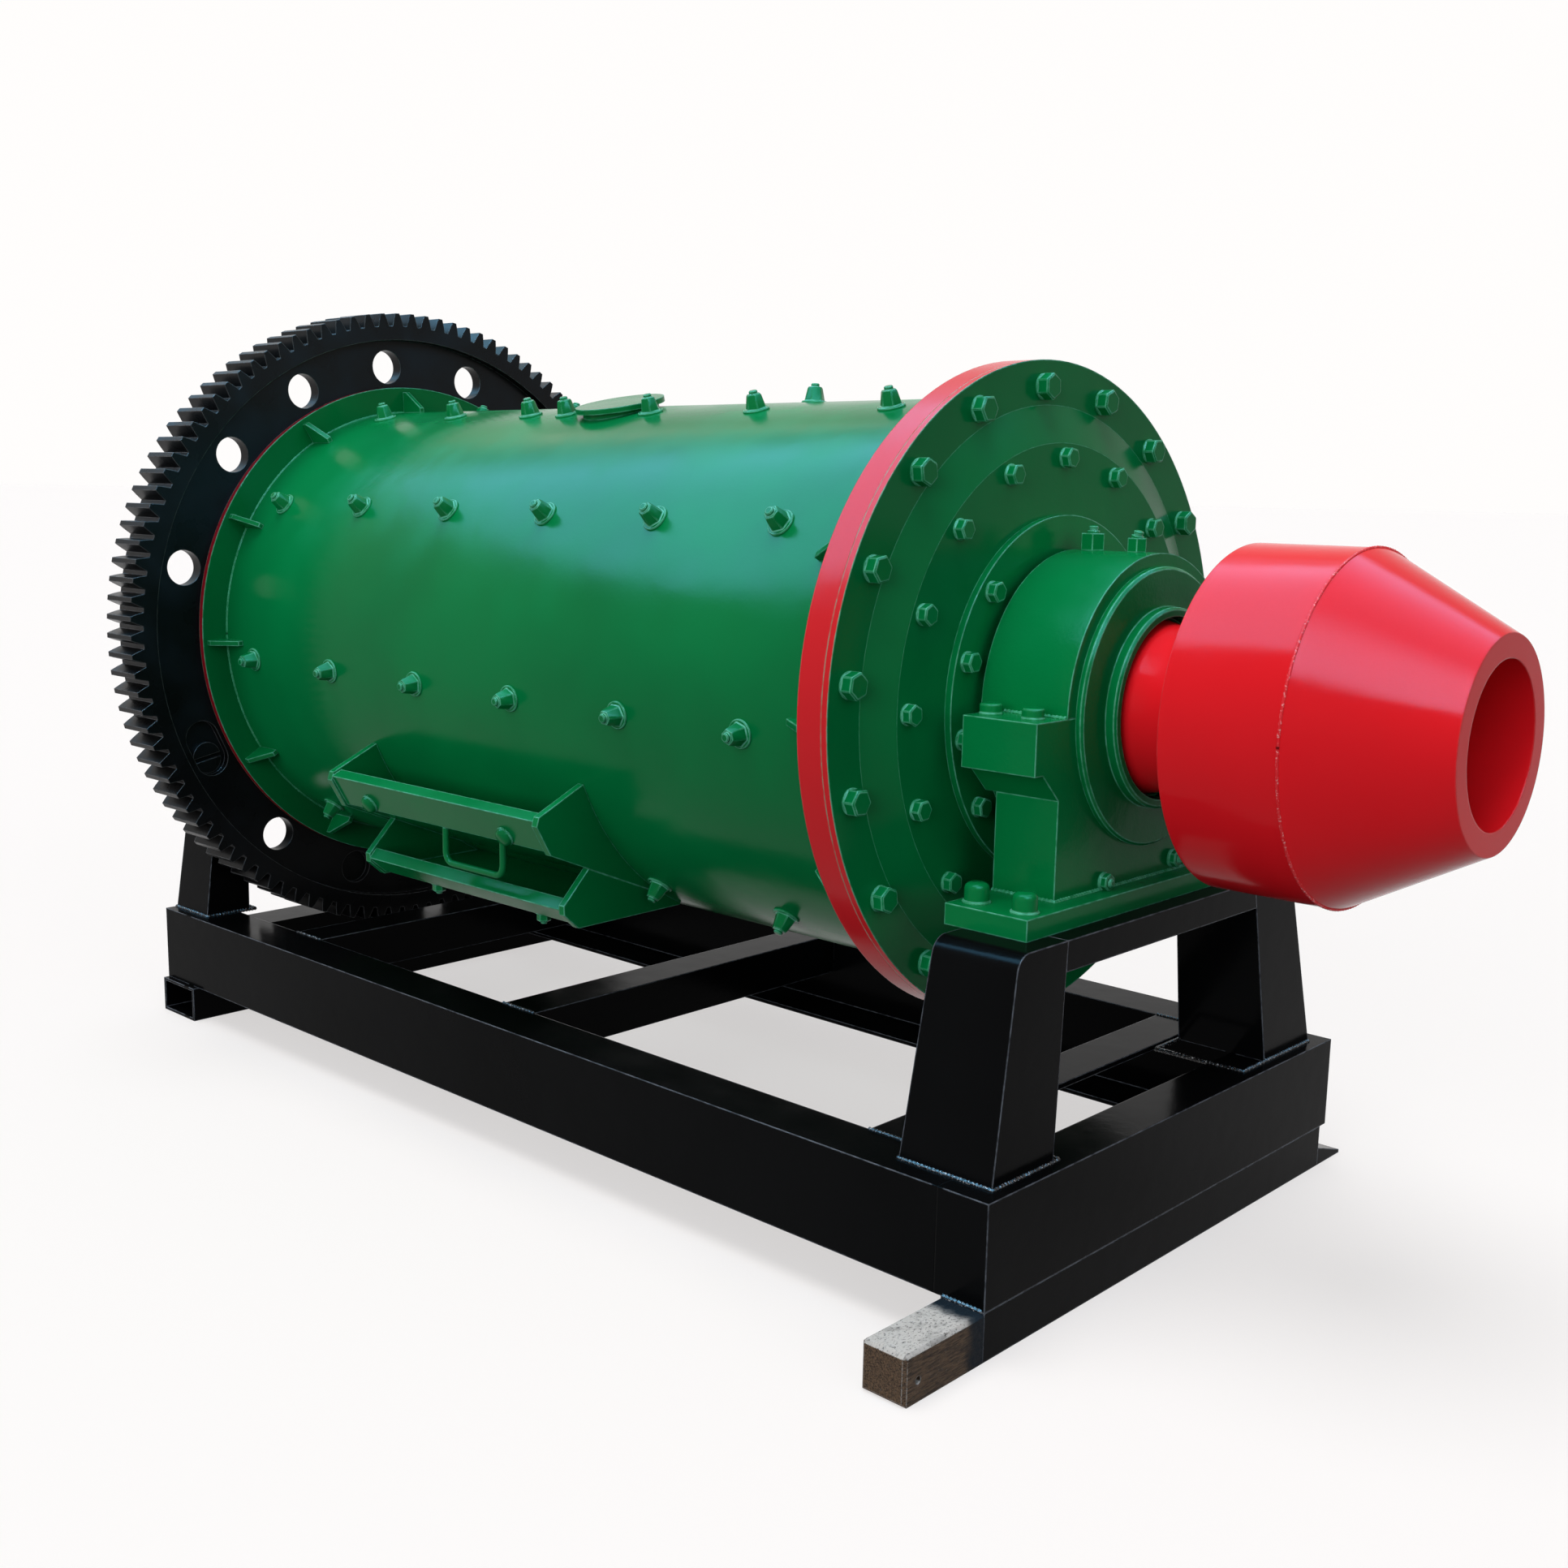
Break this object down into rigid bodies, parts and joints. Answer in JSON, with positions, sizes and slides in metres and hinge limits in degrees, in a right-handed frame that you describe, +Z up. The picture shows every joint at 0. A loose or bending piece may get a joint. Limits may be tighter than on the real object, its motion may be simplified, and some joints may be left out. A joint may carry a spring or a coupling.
{
  "type": "ball mill",
  "caption": "Horizontal ball mill: flanged barrel with a ring gear, trunnion bearings on a welded base, side hatch and conical feed nozzle.",
  "frame": {"origin": "middle of the mill's footprint box, on the floor", "axes": "+X along the barrel towards the feed nozzle, +Z up, the hatch side is -Y"},
  "size_m": [2.784, 1.368, 1.539],
  "materials": {
    "green_enamel": "glossy green enamel with slight orange peel",
    "red_enamel": "glossy red enamel",
    "black_enamel": "satin to gloss black enamel",
    "bare_timber": "bare weathered bar end, dry and stained"
  },
  "bodies": {
    "base": {"near_beam": "black_enamel", "far_beam": "black_enamel", "front_beam": "black_enamel", "rear_beam": "black_enamel", "front_cross_member": "black_enamel", "middle_cross_member": "black_enamel", "rear_cross_member": "black_enamel", "front_skid": "black_enamel", "front_skid_block": "bare_timber", "front_skid_tongue": "black_enamel", "rear_foot_tube": "black_enamel", "front_stand_near_leg": "black_enamel", "front_stand_far_leg": "black_enamel", "front_stand_top": "black_enamel", "rear_stand_near_leg": "black_enamel", "rear_stand_far_leg": "black_enamel", "rear_stand_top": "black_enamel", "front_bearing_housing": "green_enamel", "front_bearing_cap": "green_enamel", "front_bearing_liner": "green_enamel", "front_bearing_seal": "green_enamel", "front_bearing_grease_plugs": "green_enamel", "rear_bearing_housing": "green_enamel", "rear_bearing_cap": "green_enamel", "rear_bearing_liner": "green_enamel", "rear_bearing_seal": "green_enamel", "rear_bearing_grease_plugs": "green_enamel"},
    "drum": {"barrel_shell": "green_enamel", "front_shell_flange": "red_enamel", "rear_shell_flange": "red_enamel", "front_gussets": "green_enamel", "rear_gussets": "green_enamel", "front_head": "green_enamel", "rear_head": "green_enamel", "front_trunnion": "green_enamel", "rear_trunnion": "green_enamel", "ring_gear": "black_enamel", "ring_gear_web": "black_enamel", "feed_neck": "red_enamel", "feed_nozzle": "red_enamel", "discharge_neck": "red_enamel", "hatch_upper_tray": "green_enamel", "hatch_lower_tray": "green_enamel", "hatch_handle": "green_enamel", "manhole_neck": "green_enamel", "manhole_cover": "green_enamel"}
  },
  "joints": [
    {"name": "drum_spin", "type": "hinge", "parent": "base", "child": "drum", "pos_m": [0, 0, 0.855], "axis": [1, 0, 0], "continuous": true}
  ]
}
